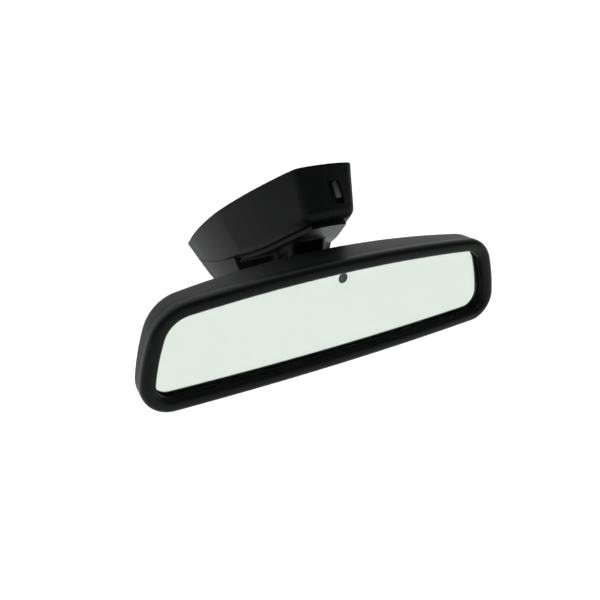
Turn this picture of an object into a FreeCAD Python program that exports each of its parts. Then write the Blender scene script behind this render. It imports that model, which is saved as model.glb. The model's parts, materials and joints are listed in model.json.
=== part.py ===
import FreeCAD, Part
import math
import os
from FreeCAD import Vector, Rotation, Placement

# Auto-dimming interior rearview mirror with a ball-jointed head and a windscreen foot.
# All sizes are millimetres.  Everything is designed about the centre of the mirror
# glass (+X to the driver's right, +Y towards the windscreen, +Z up) and is moved at
# the end so that the origin lies on the windscreen, in the middle of the button socket.

os.makedirs("parts", exist_ok=True)

# ---- mirror glass and its frame ----
glassHeight = 51.0            # visible glass, at the middle
glassHalfWidth = 112.0        # visible glass, at mid height
topCrown = 4.6                # drop of the top edge 100 mm out
bottomCrown = 2.0             # rise of the bottom edge 100 mm out
sideSlope = 0.293             # the ends widen towards the bottom
sideBow = 0.0046              # and bow outwards
topCornerRadius = 16.0
bottomCornerRadius = 9.0
bezelWidth = 8.5              # visible width of the frame all round
bezelProud = 4.0              # frame stands this far in front of the glass
seamPlace = 2.9               # joint line between frame and rear housing
housingInset = 0.3            # rear housing is this much smaller than the frame
headDepth = 27.0              # glass front to the back of the housing
backCrownRadius = 650.0       # the back is part of a large cylinder
backRound = 9.5               # rounding between back and sides
housingWall = 2.2
glassThickness = 1.9
cellGap = 0.2                 # gel layer between the two glasses
glassLap = 2.0                # glass hidden behind the frame's lip
padThickness = 0.8
carrierThickness = 2.0
boardThickness = 1.2
windowRadius = 3.15           # clear spot in the reflector
windowHeight = 21.0           # its height above the glass centre

# ---- ball joint ----
ballRadius = 8.0
ballDepth = 19.0              # ball centre behind the glass front
shankRadius = 4.5
layerGap = 0.2                # running clearance between the nested shells
linerWall = 1.2
springCupWall = 0.8
socketWall = 2.2
linerMouth = 57.0             # half angle of the shells' openings, degrees
socketMouth = 51.0
housingHoleRadius = 14.5

# ---- windscreen foot ----
windscreenAngle = 34.0        # slope of the glass from horizontal
footReach = 25.0              # foot's rear top edge, forward of the mirror glass
footRise = 83.3               # and above the glass centre
rimGap = 0.8                  # covers stop short of the windscreen
coverWall = 2.0
floorLedge = 1.5              # floor left inside the covers' walls, round the opening to the shroud
coverSplit = 0.4              # joint gap between the two cover halves
seamDepth = 31.0              # cover height at its deepest
seamStart = 40.0              # where the lower edge starts to rise
seamRadius = 240.0
seamGap = 0.4
rearRound = 7.0               # rounding under the rear face
flankRound = 8.0              # rounding between the rear face and the flanks
shroudWall = 2.0
neckPlace = 38.0              # rear face of the shroud's neck
neckHalfWidth = 13.0
neckLength = 22.0             # straight part of the neck before the shoulders
shoulderAngle = 25.0          # how far the shoulders are swept forward
neckRound = 6.0
flangeThickness = 2.4         # plate of the shroud that closes the covers' underside
flangeInset = 0.8
flareRadius = 3.0             # blend between neck and flange
shroudBottom = -16.0
pegPlaces = [(-19, 48), (-10, 22), (10, 22), (19, 48)]
pegRadius = 1.5               # snap pegs of the shroud, through the covers' floor
buttonPlace = 78.0            # button centre along the foot
buttonRadius = 13.0
buttonDepth = 5.0
bossRadius = 18.0
plateThickness = 4.0
plateHoleRadius = 1.3
clipThickness = 0.6
clipHalf = 4.0                # half the width of each clip strip
clipLeg = 10.0
armRadius = 8.0
armEnd = 34.0                 # rear face of the arm, where the ball stud is screwed in
platePlaces = [(x, buttonPlace + y) for x in (-16, 16) for y in (-23, 23)]

X_AXIS = Vector(1, 0, 0)
Y_AXIS = Vector(0, 1, 0)
Z_AXIS = Vector(0, 0, 1)
BALL = Vector(0, ballDepth, 0)
FOOT = Placement(Vector(0, footReach, footRise), Rotation(X_AXIS, -windscreenAngle))
ORIGIN = FOOT.multVec(Vector(0, buttonPlace, 0))


def save(name, shape):
    moved = shape.copy()
    moved.translate(-ORIGIN)
    moved.exportStep("parts/" + name + ".step")
    print(name, round(moved.Volume, 1), len(moved.Solids), moved.isValid())


def onFoot(shape):
    """Windscreen frame: x across, y down the glass, z along its normal."""
    placed = shape.copy()
    placed.Placement = FOOT.multiply(placed.Placement)
    return placed


def arc(a, b, c):
    return Part.Arc(Vector(*a), Vector(*b), Vector(*c)).toShape()


def line(a, b):
    return Part.makeLine(Vector(*a), Vector(*b))


def box(low, high):
    size = Vector(*high) - Vector(*low)
    return Part.makeBox(size.x, size.y, size.z, Vector(*low))


def cylinder(radius, base, direction, length):
    return Part.makeCylinder(radius, length, Vector(*base), Vector(*direction))


def ring(outer, inner, base, direction, length):
    return cylinder(outer, base, direction, length).cut(cylinder(inner, base, direction, length))


def centreOf(edge):
    return edge.BoundBox.Center


# ---------------------------------------------------------------- head

def cornerPoint(sign):
    """Where the top (+1) or bottom (-1) edge meets the side curve."""
    crown = topCrown if sign > 0 else bottomCrown
    z = sign * glassHeight / 2
    for _ in range(12):
        x = glassHalfWidth - sideSlope * z - sideBow * z * z
        z = sign * (glassHeight / 2 - crown * (x / 100) ** 2)
    return x, z


def circleThrough(a, b, c):
    """Centre and radius of the circle through three points of the y = 0 plane."""
    circle = arc((a[0], 0, a[1]), (b[0], 0, b[1]), (c[0], 0, c[1])).Curve
    return circle.Center, circle.Radius


def cornerCentre(edgeCircle, sideCircle, radius):
    """Centre of a corner circle that touches an edge circle and a side circle from inside."""
    (c1, r1), (c2, r2) = edgeCircle, sideCircle
    a, b = r1 - radius, r2 - radius
    span = c2 - c1
    along = (a * a - b * b + span.dot(span)) / (2 * span.Length)
    across = math.sqrt(a * a - along * along)
    unit = span.normalize()
    normal = Vector(-unit.z, 0, unit.x)
    both = [c1 + unit * along + normal * across, c1 + unit * along - normal * across]
    return max(both, key=lambda point: point.x)


def outlineCircles():
    """Circles of the right half of the glass outline: top, upper corner, side, lower corner, bottom."""
    xt, zt = cornerPoint(1)
    xb, zb = cornerPoint(-1)
    half = glassHeight / 2
    top = circleThrough((-xt, zt), (0, half), (xt, zt))
    side = circleThrough((xt, zt), (glassHalfWidth, 0), (xb, zb))
    bottom = circleThrough((-xb, zb), (0, -half), (xb, zb))
    upper = (cornerCentre(top, side, topCornerRadius), topCornerRadius)
    lower = (cornerCentre(bottom, side, bottomCornerRadius), bottomCornerRadius)
    return top, upper, side, lower, bottom


CIRCLES = outlineCircles()


def mirrored(v):
    return Vector(-v.x, v.y, v.z)


def outlineWire(offset, y):
    """The visible glass outline grown by offset: eight arcs that run into each other."""
    top, upper, side, lower, bottom = CIRCLES
    touch = [(upper[0] - top[0]).normalize(), (upper[0] - side[0]).normalize(),
             (lower[0] - side[0]).normalize(), (lower[0] - bottom[0]).normalize()]

    def at(circle, direction):
        return circle[0] + direction * (circle[1] + offset) + Vector(0, y, 0)

    def between(circle, a, b):
        return at(circle, (a + b).normalize())

    topMiddle = at(top, Z_AXIS)
    bottomMiddle = at(bottom, -Z_AXIS)
    p = [at(top, touch[0]), at(upper, touch[1]), at(lower, touch[2]), at(bottom, touch[3])]
    middles = [between(upper, touch[0], touch[1]), between(side, touch[1], touch[2]),
               between(lower, touch[2], touch[3])]
    right = [Part.Arc(p[i], middles[i], p[i + 1]).toShape() for i in range(3)]
    left = [Part.Arc(mirrored(p[i + 1]), mirrored(middles[i]), mirrored(p[i])).toShape() for i in (2, 1, 0)]
    topArc = Part.Arc(mirrored(p[0]), topMiddle, p[0]).toShape()
    bottomArc = Part.Arc(p[3], bottomMiddle, mirrored(p[3])).toShape()
    return Part.Wire([topArc] + right + [bottomArc] + left)


def headPrism(offset, start, end):
    """The glass outline grown by offset, from y = start to y = end."""
    return Part.Face(outlineWire(offset, start)).extrude(Vector(0, end - start, 0))


bezelGroove = (bezelWidth - 2.5, bezelWidth - 1.2)
packDepth = 2 * glassThickness + cellGap
carrierFront = packDepth + padThickness
carrierBack = carrierFront + carrierThickness


def bezel():
    solid = headPrism(bezelWidth, -bezelProud, seamPlace)
    solid = solid.cut(headPrism(0, -bezelProud - 1, 1))
    rim = [e for e in solid.Edges if abs(centreOf(e).y + bezelProud) < 0.01 and e.BoundBox.YLength < 0.01]
    solid = solid.makeFillet(0.48 * min(bezelWidth, 2 * bezelProud), rim)
    solid = solid.cut(headPrism(glassLap + 0.2, 0, seamPlace + 1))
    groove = headPrism(bezelGroove[1], -1.0, seamPlace + 1).cut(headPrism(bezelGroove[0], -2.0, seamPlace + 2))
    return solid.cut(groove)


def crownBlock(back):
    """Everything in front of the crowned back surface whose middle is at y = back."""
    tall = 200.0
    axis = Vector(0, back - backCrownRadius, -tall / 2)
    return Part.makeCylinder(backCrownRadius, tall, axis, Z_AXIS)


def backAt(x):
    """Where the outside of the back lies, at a distance x from the middle."""
    return headDepth - backCrownRadius + math.sqrt(backCrownRadius ** 2 - x * x)


def housingBlock(offset, back, rounding):
    solid = headPrism(offset, seamPlace, headDepth + 5).common(crownBlock(back))
    rear = [e for e in solid.Edges if centreOf(e).y > seamPlace + 1 and e.BoundBox.YLength < 12
            and (e.BoundBox.XLength > 1 or e.BoundBox.ZLength > 1) and min(v.Y for v in e.Vertexes) > seamPlace + 2]
    return solid.makeFillet(rounding, rear)


def rearHousing():
    outerOffset = bezelWidth - housingInset
    shell = housingBlock(outerOffset, headDepth, backRound)
    hollow = housingBlock(outerOffset - housingWall, headDepth - housingWall, backRound - housingWall)
    shell = shell.cut(hollow)
    tongue = headPrism(bezelGroove[1] - 0.15, -0.8, seamPlace).cut(headPrism(bezelGroove[0] + 0.15, -2, seamPlace + 1))
    shell = shell.fuse(tongue)
    hole = cylinder(housingHoleRadius, (0, 10, 0), (0, 1, 0), 30)
    collar = ring(housingHoleRadius + 1.8, housingHoleRadius, (0, headDepth - 8, 0), (0, 1, 0), 7)
    shell = shell.fuse(collar).cut(hole)
    for x, z in bossPlaces:
        length = backAt(abs(x) + postRadius) - housingWall / 2 - carrierBack
        post = cylinder(postRadius, (x, carrierBack, z), (0, 1, 0), length)
        bore = cylinder(screwRadius, (x, carrierBack - 1, z), (0, 1, 0), screwLength)
        shell = shell.fuse(post).cut(bore)
    lens = cylinder(ambientRadius + 0.1, (ambientPlace[0], 15, ambientPlace[1]), (0, 1, 0), 20)
    (x0, x1), (z0, z1) = headerAcross, headerUpright
    port = box((x0 - 0.3, 15, z0 - 0.3), (x1 + 0.3, headDepth + 5, z1 + 0.3))
    return shell.cut(lens).cut(port)


bossPlaces = [(-88, -8), (-45, -16), (45, -16), (88, -8)]
postRadius = 3.2
screwRadius = 1.25
screwLength = 9.0
ambientPlace = (-40.0, 9.0)
ambientRadius = 4.5
headerAcross = (27.0, 41.0)       # the plug socket in the back, left and right
headerUpright = (-6.0, 4.0)       # and its lower and upper edge


def frontGlass():
    return headPrism(glassLap, 0, glassThickness)


def cellSeal():
    return headPrism(glassLap, glassThickness, glassThickness + cellGap).cut(headPrism(glassLap - 1.4, 0, 9))


def cellGel():
    return headPrism(glassLap - 1.4, glassThickness, glassThickness + cellGap)


def rearGlass():
    solid = headPrism(glassLap, glassThickness + cellGap, packDepth)
    return solid.cut(cylinder(windowRadius, (0, 0, windowHeight), (0, 1, 0), 20))


def busClips(sign):
    """Thin spring strip clipped over one long edge of the two-glass cell."""
    thickness = 0.12
    wide = 60.0
    z = sign * (glassHeight / 2 - 1.2)
    strip = headPrism(glassLap + thickness, glassThickness + 0.2, packDepth + thickness)
    strip = strip.cut(headPrism(glassLap, 0, packDepth))
    low = min(z, z + sign * 6)
    return strip.common(box((-wide, 0, low), (wide, 20, low + 6)))


def foamPad():
    solid = headPrism(glassLap - 4, packDepth, carrierFront)
    return solid.cut(cylinder(windowRadius + 2, (0, 0, windowHeight), (0, 1, 0), 20))


def carrierPlate():
    """Moulded plate that carries the glass, with a stiffening rim and rib grid."""
    solid = headPrism(glassLap + 1.5, carrierFront, carrierBack)
    rimWall = headPrism(glassLap + 1.5, carrierBack, carrierBack + 3).cut(headPrism(glassLap, 0, 30))
    solid = solid.fuse(rimWall)
    for x in (-75, -65, 65, 75, 100, -100):
        solid = solid.fuse(box((x - 0.6, carrierBack, -18), (x + 0.6, carrierBack + 2.5, 18)))
    for x, z in bossPlaces:
        solid = solid.fuse(cylinder(4.2, (x, carrierFront, z), (0, 1, 0), carrierThickness))
        solid = solid.cut(cylinder(1.6, (x, carrierFront - 1, z), (0, 1, 0), 9))
        solid = solid.cut(cylinder(2.9, (x, carrierFront - 1, z), (0, 1, 0), 2.2))
    for x, z in socketScrewPlaces:
        solid = solid.cut(cylinder(1.0, (x, carrierFront, z), (0, 1, 0), 9))
    return solid.cut(cylinder(windowRadius + 1.3, (0, 0, windowHeight), (0, 1, 0), 20))


socketFlangeRadius = 19.0
socketScrewPlaces = [(16.5 * math.cos(math.radians(a)), 16.5 * math.sin(math.radians(a))) for a in (-30, 210, 90)]
boardFront = carrierBack + 0.6


def circuitBoard():
    board = box((-58, boardFront, -20), (58, boardFront + boardThickness, 24.5))
    board = board.common(headPrism(-1.5, 0, 30))
    board = board.cut(cylinder(socketFlangeRadius + 0.6, (0, 0, 0), (0, 1, 0), 30))
    for x, z in bossPlaces:
        board = board.cut(cylinder(4.8, (x, 0, z), (0, 1, 0), 30))
    for x in (-52, 52):
        board = board.cut(cylinder(1.2, (x, 0, 18), (0, 1, 0), 30))
    return board


def boardSpacers():
    parts = []
    for x in (-52, 52):
        spacer = ring(2.6, 1.0, (x, carrierBack, 18), (0, 1, 0), boardFront - carrierBack)
        parts.append(spacer)
    return Part.makeCompound(parts)


def chips():
    """Processor, driver, capacitors: (x, z, width, height, thickness)."""
    layout = [(-28, 9, 7, 8, 1.6), (-50, -6, 5, 6, 1.4), (49, 12, 7, 5, 1.5),
              (38, 13, 4, 6, 1.2), (-34, -9, 4, 3, 1.0), (27, 18, 3, 2, 0.9)]
    back = boardFront + boardThickness
    return Part.makeCompound([box((x - w / 2, back, z - h / 2), (x + w / 2, back + t, z + h / 2))
                              for x, z, w, h, t in layout])


def boardHeader():
    """Socket on the board for the car's plug, reaching out through the back of the housing."""
    wall = 1.2
    base = boardFront + boardThickness
    (x0, x1), (z0, z1) = headerAcross, headerUpright
    mouth = backAt(x1) - 1.0
    shell = box((x0, base, z0), (x1, mouth, z1))
    shell = shell.cut(box((x0 + wall, base + 3, z0 + wall), (x1 - wall, mouth + 1, z1 - wall)))
    pins = 4
    pitch = (x1 - x0) / (pins + 1)
    for i in range(pins):
        x = x0 + pitch * (i + 1)
        z = (z0 + z1) / 2
        shell = shell.fuse(box((x - 0.35, base + 2.5, z - 0.35), (x + 0.35, base + 6, z + 0.35)))
    return shell


def lightPipe():
    """Lens behind the clear spot, reaching back to the glare sensor."""
    body = cylinder(windowRadius - 0.15, (0, glassThickness + cellGap, windowHeight), (0, 1, 0),
                    boardFront - 1.2 - glassThickness - cellGap)
    flange = cylinder(windowRadius + 1.1, (0, packDepth + 0.15, windowHeight), (0, 1, 0), 0.9)
    return body.fuse(flange)


def glareSensor():
    return box((-2.2, boardFront - 1.1, windowHeight - 1.1), (2.2, boardFront, windowHeight + 1.1))


def ambientSensor():
    back = boardFront + boardThickness
    x, z = ambientPlace
    return box((x - 2, back, z - 2), (x + 2, back + 1.6, z + 2))


def ambientLens():
    """Small dark lens set in the back of the housing, looking forward."""
    x, z = ambientPlace
    depth = housingWall + 3.5
    back = backAt(x)
    stem = cylinder(ambientRadius, (x, back - depth, z), (0, 1, 0), depth + 0.4)
    stem = stem.makeFillet(0.35, [e for e in stem.Edges if centreOf(e).y > back])
    flange = cylinder(ambientRadius + 1.3, (x, back - housingWall - 1.5, z), (0, 1, 0), 1.0)
    return stem.fuse(flange)


def housingScrews():
    parts = []
    for x, z in bossPlaces:
        head = cylinder(2.7, (x, carrierFront + 0.1, z), (0, 1, 0), 1.1)
        drive = cylinder(1.0, (x, carrierFront, z), (0, 1, 0), 0.8)
        shank = cylinder(screwRadius, (x, carrierFront + 1.2, z), (0, 1, 0), screwLength - 0.5)
        parts.append(head.cut(drive).fuse(shank))
    return Part.makeCompound(parts)


def shellOfBall(outer, inner, mouth, start):
    """Hollow ball about the joint centre, open towards +Y within a half angle."""
    def point(radius, degrees):
        angle = math.radians(degrees)
        return (radius * math.sin(angle), ballDepth + radius * math.cos(angle), 0)

    middle = (mouth + 180) / 2
    edges = [arc(point(outer, mouth), point(outer, middle), (0, ballDepth - outer, 0)),
             line((0, ballDepth - outer, 0), (0, ballDepth - inner, 0)),
             arc((0, ballDepth - inner, 0), point(inner, middle), point(inner, mouth)),
             line(point(inner, mouth), point(outer, mouth))]
    shell = Part.Face(Part.Wire(edges)).revolve(BALL, Y_AXIS, 360)
    shell.rotate(BALL, Y_AXIS, start)
    return shell


linerInner = ballRadius + layerGap
linerOuter = linerInner + linerWall
cupInner = linerOuter + layerGap
cupOuter = cupInner + springCupWall
socketInner = cupOuter + layerGap
socketOuter = socketInner + socketWall


def ballLiner():
    shell = shellOfBall(linerOuter, linerInner, linerMouth, 45)
    for angle in (0, 90, 180, 270):
        slit = box((-0.5, ballDepth, 0), (0.5, ballDepth + 12, 14))
        slit.rotate(BALL, Y_AXIS, angle)
        shell = shell.cut(slit)
    return shell


def springCup():
    shell = shellOfBall(cupOuter, cupInner, linerMouth, 30)
    for angle in range(0, 360, 60):
        slit = box((-0.8, ballDepth - 3, 0), (0.8, ballDepth + 12, 14))
        slit.rotate(BALL, Y_AXIS, angle + 30)
        shell = shell.cut(slit)
    return shell


def ballSocket():
    """Cup that holds the ball, screwed to the carrier plate."""
    drum = cylinder(socketOuter, (0, carrierBack, 0), (0, 1, 0), ballDepth - carrierBack)
    cap = Part.makeSphere(socketOuter, BALL)
    body = drum.fuse(cap.common(box((-20, ballDepth - 6, -20), (20, ballDepth + 20, 20))))
    flange = cylinder(socketFlangeRadius, (0, carrierBack, 0), (0, 1, 0), 2.0)
    body = body.fuse(flange)
    for angle in range(0, 360, 60):
        rib = box((socketOuter - 1, carrierBack, -0.8), (socketFlangeRadius - 1.5, carrierBack + 6, 0.8))
        rib.rotate(Vector(0, 0, 0), Y_AXIS, angle)
        body = body.fuse(rib)
    body = body.cut(Part.makeSphere(socketInner, BALL))
    reach = 30.0
    cone = Part.makeCone(0, reach * math.tan(math.radians(socketMouth)), reach, BALL, Y_AXIS)
    body = body.cut(cone)
    for x, z in socketScrewPlaces:
        body = body.cut(cylinder(1.5, (x, carrierBack - 1, z), (0, 1, 0), 5))
        body = body.cut(cylinder(2.9, (x, carrierBack + 2, z), (0, 1, 0), 9))
    return body


def socketScrews():
    parts = []
    for x, z in socketScrewPlaces:
        head = cylinder(2.6, (x, carrierBack + 2, z), (0, 1, 0), 1.6)
        drive = cylinder(1.0, (x, carrierBack + 2.8, z), (0, 1, 0), 1.0)
        shank = cylinder(0.98, (x, carrierFront + 0.4, z), (0, 1, 0), carrierThickness + 1.6)
        parts.append(head.cut(drive).fuse(shank))
    return Part.makeCompound(parts)


# ---------------------------------------------------------------- foot

# Plan of the foot on the windscreen, half of it: (x, y) at the glass, and how much
# each point moves for every millimetre below the glass.
footPlan = [((18.5, 2.0), (-0.067, 0.25)),
            ((35.0, 30.4), (-0.325, 0.15)),
            ((46.5, 63.0), (-0.37, 0.05)),
            ((49.4, 92.0), (-0.37, 0.0)),
            ((47.5, 124.0), (-0.34, -0.12)),
            ((40.4, 142.8), (-0.285, -0.22)),
            ((24.0, 152.5), (-0.17, -0.27)),
            ((0.0, 155.7), (0.0, -0.275))]
transomMiddle = ((0.0, 0.0), (0.0, 0.2))


def planPoint(entry, depth, side=1):
    (x, y), (dx, dy) = entry
    return (side * (x + dx * depth), y + dy * depth, -depth)


def footWire(depth):
    p = [planPoint(entry, depth) for entry in footPlan]
    q = [planPoint(entry, depth, -1) for entry in footPlan]
    middle = planPoint(transomMiddle, depth)
    return Part.Wire([arc(q[0], middle, p[0]), arc(p[0], p[1], p[2]), arc(p[2], p[3], p[4]),
                      arc(p[4], p[5], p[6]), arc(p[6], p[7], q[6]), arc(q[6], q[5], q[4]),
                      arc(q[4], q[3], q[2]), arc(q[2], q[1], q[0])])


def footLoft(inset, top, bottom):
    """Drafted boat-shaped body between two depths below the glass."""
    wires = []
    for depth in (top, bottom):
        wire = footWire(depth)
        wires.append(wire.makeOffset2D(-inset) if inset else wire)
    return Part.makeLoft(wires, True, True)


def aboveSeam(lower):
    """Space above the covers' lower edge, moved down by lower."""
    z = -seamDepth - lower
    radius = seamRadius + lower
    centre = Vector(0, seamStart, seamRadius - seamDepth)
    far = 150.0
    angles = (math.asin(far / radius) / 2, math.asin(far / radius))
    points = [(0, seamStart + radius * math.sin(a), centre.z - radius * math.cos(a)) for a in angles]
    start = (0, seamStart, z)
    edges = [line((0, -60, z), start), arc(start, points[0], points[1]),
             line(points[1], (0, points[1][1], 60)), line((0, points[1][1], 60), (0, -60, 60)),
             line((0, -60, 60), (0, -60, z))]
    block = Part.Face(Part.Wire(edges)).extrude(Vector(200, 0, 0))
    block.translate(Vector(-100, 0, 0))
    return block


def sideProfile(inset):
    """Lower shroud seen from the side: upright neck behind, rounded keel below."""
    y = neckPlace + inset
    low = shroudBottom + inset
    corner = 8.0 - inset
    slack = corner * (1 - math.sqrt(0.5))
    nose = (132.0 - inset, -2.0 + inset)
    edges = [line((0, y, 120), (0, y, low + corner)),
             arc((0, y, low + corner), (0, y + slack, low + slack), (0, y + corner, low)),
             arc((0, y + corner, low), (0, 92.0, low - 1.0), (0, nose[0], nose[1])),
             line((0, nose[0], nose[1]), (0, 190, 60)),
             line((0, 190, 60), (0, 190, 120)),
             line((0, 190, 120), (0, y, 120))]
    block = Part.Face(Part.Wire(edges)).extrude(Vector(200, 0, 0))
    block.translate(Vector(-100, 0, 0))
    return block


def planProfile(inset):
    """Lower shroud seen from above: a narrow neck, then swept shoulders out to the flanks."""
    half = neckHalfWidth - inset
    rear = neckPlace + inset
    waist = neckPlace + neckLength + inset
    reach = 60.0
    shoulder = waist + (reach - half) * math.tan(math.radians(shoulderAngle))
    right = [(half, rear), (half, waist), (reach, shoulder), (reach, 200)]
    left = [(-x, y) for x, y in reversed(right)]
    wire = Part.makePolygon([Vector(x, y, -60) for x, y in right + left + right[:1]])
    block = Part.Face(wire).extrude(Vector(0, 0, 180))
    corners = [e for e in block.Edges if e.BoundBox.ZLength > 100 and centreOf(e).y < rear + 0.1]
    waists = [e for e in block.Edges if e.BoundBox.ZLength > 100 and abs(centreOf(e).y - waist) < 0.1]
    return block.makeFillet(neckRound - inset, corners).makeFillet(neckRound + inset, waists)


def shroudBlock(inset, flankInset):
    """The shroud's space, this far inside its outer surface; the flanks have their own inset."""
    body = onFoot(footLoft(flankInset, 5, 75))
    return body.common(sideProfile(inset)).common(planProfile(inset))


def seamLevel(y):
    """Height of the covers' lower edge in the windscreen frame."""
    rise = max(0.0, y - seamStart)
    return seamRadius - seamDepth - math.sqrt(seamRadius ** 2 - rise ** 2)


def shroudFlange():
    """Plate under the covers, just inside the outline of their lower face."""
    lower = [f for f in coverBlock(0, rimGap).Faces if f.BoundBox.ZMin > -seamDepth - 0.01
             and type(f.Surface).__name__ in ("Plane", "Cylinder") and f.CenterOfMass.z < -5]
    plates = [f.extrude(Vector(0, 0, -flangeThickness)) for f in lower]
    plate = plates[0].fuse(plates[1:]).removeSplitter()
    plate.translate(Vector(0, 0, -seamGap))
    return onFoot(plate.common(footLoft(flangeInset, 5, 75)))


def underFlange(edge, walls):
    """True for the edges where the walls of the neck and shoulders meet the flange."""
    middle = edge.valueAt((edge.FirstParameter + edge.LastParameter) / 2)
    p = FOOT.inverse().multVec(middle)
    level = seamLevel(p.y) - seamGap - flangeThickness
    return abs(p.z - level) < 0.02 and walls.distToShape(Part.Vertex(middle))[0] < 0.01


def lowerShroud():
    body = shroudBlock(0, 0).cut(onFoot(aboveSeam(seamGap)))
    body = body.fuse(shroudFlange()).removeSplitter()
    walls = planProfile(0).Shells[0]
    joints = [e for e in body.Edges if underFlange(e, walls)]
    body = body.makeFillet(flareRadius, joints)
    body = body.cut(shroudBlock(shroudWall, shroudWall))
    for x, y in pegPlaces:
        low = -seamDepth - seamGap - 1
        neck = cylinder(pegRadius, (x, y, low), (0, 0, 1), 1 + seamGap + coverWall + 0.4)
        head = Part.makeCone(pegRadius + 0.5, pegRadius - 0.4, 1.4, Vector(x, y, -seamDepth + coverWall + 0.3), Z_AXIS)
        body = body.fuse(onFoot(neck.fuse(head)))
    return body.cut(cylinder(armRadius + 1.6, (0, 30, 0), (0, 1, 0), 14))


def coverBlock(inset, top):
    """The covers' space, this far inside their outer surface, with the rounded lower rear edge."""
    body = footLoft(inset, top, 60).common(aboveSeam(-inset))
    corners = [e for e in body.Edges if e.BoundBox.YMax < 14 and e.BoundBox.XLength < 6 and e.BoundBox.ZLength > 20]
    body = body.makeFillet(flankRound - inset, corners)
    bottom = [e for e in body.Edges if e.BoundBox.ZMax < -seamDepth + inset + 1.0 and e.BoundBox.YMin < 30
              and e.BoundBox.YMax < 25]
    return body.makeFillet(rearRound - inset, bottom)


def coverShell():
    shell = coverBlock(0, rimGap).cut(coverBlock(coverWall, -2))
    for x, y in pegPlaces:
        shell = shell.cut(cylinder(pegRadius + 0.1, (x, y, -seamDepth - 5), (0, 0, 1), 10))
    return onFoot(shell).cut(shroudBlock(shroudWall, coverWall + floorLedge))


def coverHalf(side):
    shell = coverShell()
    low = coverSplit / 2 if side > 0 else -100
    high = 100 if side > 0 else -coverSplit / 2
    half = shell.common(box((low, -50, -100), (high, 250, 200)))
    if side > 0:
        half = half.cut(windowCut())
    return half


windowPlace = (10.0, 23.5)        # top and bottom of the window, below the windscreen
windowWide = 8.8


def windowCut():
    """D-shaped opening beside the centre joint, in the rear face."""
    top, bottom = windowPlace
    edges = [line((0.2, 0, -top), (windowWide * 0.75, 0, -top)),
             arc((windowWide * 0.75, 0, -top), (windowWide, 0, -(top + bottom) / 2), (windowWide, 0, -bottom)),
             line((windowWide, 0, -bottom), (0.2, 0, -bottom)), line((0.2, 0, -bottom), (0.2, 0, -top))]
    block = Part.Face(Part.Wire(edges)).extrude(Vector(0, 20, 0))
    block.translate(Vector(0, -8, 0))
    return onFoot(block)


sensorFront = 7.6                 # front of the sensor, from the rear face's top edge


def sensorBody():
    top, bottom = windowPlace
    return box((9.0, sensorFront + 1.0, -bottom + 5.5), (12, sensorFront + 10, -top + 2))


def airSensor():
    """Grey sensor behind the window: a front plate, a slimmer body and an ear on the cover's wall."""
    top, bottom = windowPlace
    plate = box((6.4, sensorFront, -bottom + 4.5), (12, sensorFront + 1.2, -top + 3))
    ear = box((11, sensorFront + 5, -bottom + 6), (60, sensorFront + 7, -top - 1))
    return onFoot(plate.fuse(sensorBody()).fuse(ear.common(footLoft(coverWall + 0.02, -2, 60))))


def sensorTray():
    """Dark plate round the sensor that closes the view into the foot."""
    top, bottom = windowPlace
    back = sensorFront + 1.8
    return onFoot(box((-1.5, back, -bottom - 1.5), (14.5, back + 1.2, -top + 4)).cut(sensorBody()))


def footCasting():
    """Die-cast foot: plate on the windscreen, boss round the button, arm to the ball."""
    plate = box((-21, buttonPlace - 30, -plateThickness), (21, buttonPlace + 30, 0))
    plate = plate.makeFillet(6, [e for e in plate.Edges if e.BoundBox.ZLength > plateThickness - 0.1])
    boss = cylinder(bossRadius, (0, buttonPlace, -9), (0, 0, 1), 9)
    solid = plate.fuse(boss)
    solid = onFoot(solid)
    elbow = Vector(0, armEnd + 10, 0)
    top = FOOT.multVec(Vector(0, buttonPlace - 16, -3))
    solid = solid.fuse(Part.makeCylinder(armRadius, 10, Vector(0, armEnd, 0), Y_AXIS))
    solid = solid.fuse(Part.makeSphere(armRadius, elbow))
    solid = solid.fuse(Part.makeCone(armRadius, armRadius + 2, (top - elbow).Length, elbow, top - elbow))
    roof = onFoot(box((-60, -50, 0), (60, 250, 40)))
    solid = solid.cut(roof)
    socket = onFoot(cylinder(buttonRadius, (0, buttonPlace, -buttonDepth), (0, 0, 1), buttonDepth + 5))
    pocket = onFoot(cylinder(buttonRadius - 2, (0, buttonPlace, -buttonDepth - 2), (0, 0, 1), 5))
    solid = solid.cut(socket).cut(pocket)
    solid = solid.cut(Part.makeCylinder(shankRadius - 0.5, 9, Vector(0, armEnd - 1, 0), Y_AXIS))
    for x, y in platePlaces:
        solid = solid.cut(onFoot(cylinder(plateHoleRadius, (x, y, -10), (0, 0, 1), 9.3)))
    return solid


def ballStud():
    ball = Part.makeSphere(ballRadius, BALL)
    shank = Part.makeCylinder(shankRadius, armEnd - ballDepth, BALL, Y_AXIS)
    flange = Part.makeCylinder(6.4, 1.6, Vector(0, armEnd - 1.6, 0), Y_AXIS)
    root = Part.makeCylinder(shankRadius - 0.53, 8, Vector(0, armEnd, 0), Y_AXIS)
    return ball.fuse(shank).fuse(flange).fuse(root)


def buttonSpring():
    """Wave washer on the floor of the button socket."""
    return onFoot(ring(buttonRadius - 2.4, 5.5, (0, buttonPlace, -buttonDepth - 2), (0, 0, 1), 0.8))


def plateScrews():
    """Four screws up through the plate; each also pins one cover clip."""
    parts = []
    for x, y in platePlaces:
        shank = cylinder(plateHoleRadius - 0.02, (x, y, -plateThickness - clipThickness), (0, 0, 1), 3.8)
        head = cylinder(2.8, (x, y, -plateThickness - clipThickness - 1.8), (0, 0, 1), 1.8)
        drive = cylinder(1.1, (x, y, -plateThickness - clipThickness - 2.0), (0, 0, 1), 1.2)
        parts.append(onFoot(shank.fuse(head).cut(drive)))
    return Part.makeCompound(parts)


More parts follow.
